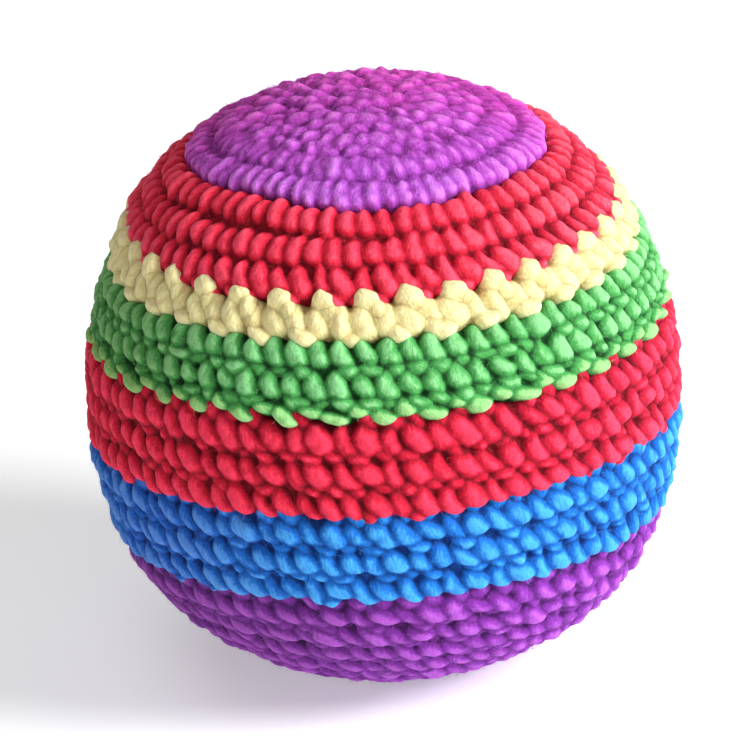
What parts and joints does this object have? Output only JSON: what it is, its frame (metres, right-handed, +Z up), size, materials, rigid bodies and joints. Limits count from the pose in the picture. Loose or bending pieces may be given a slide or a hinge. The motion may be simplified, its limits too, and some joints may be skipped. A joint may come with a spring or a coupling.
{
  "type": "footbag",
  "caption": "Small crocheted kicking ball in striped yarn rounds, closed over a gathered cloth pouch of loose pellets.",
  "frame": {"origin": "middle of the flat that the ball rests on", "axes": "+Z up through the middle of the crown, along the axis that the rounds go round; the ball has no front, and -Y faces the picture's camera"},
  "size_m": [0.0559, 0.0559, 0.0562],
  "materials": {
    "purple_yarn": "matte, slightly fuzzy spun yarn",
    "red_yarn": "matte spun yarn",
    "cream_yarn": "matte spun yarn",
    "green_yarn": "matte spun yarn",
    "blue_yarn": "matte spun yarn",
    "liner_cloth": "plain woven cloth",
    "tie_thread": "twisted thread",
    "pellet_plastic": "moulded pellets"
  },
  "bodies": {
    "root": {"crown_purple_band": "purple_yarn", "upper_red_band": "red_yarn", "cream_band": "cream_yarn", "green_band": "green_yarn", "lower_red_band": "red_yarn", "blue_band": "blue_yarn", "base_purple_band": "purple_yarn", "liner_pouch": "liner_cloth", "liner_tie": "tie_thread", "pellet_fill": "pellet_plastic"}
  },
  "joints": []
}
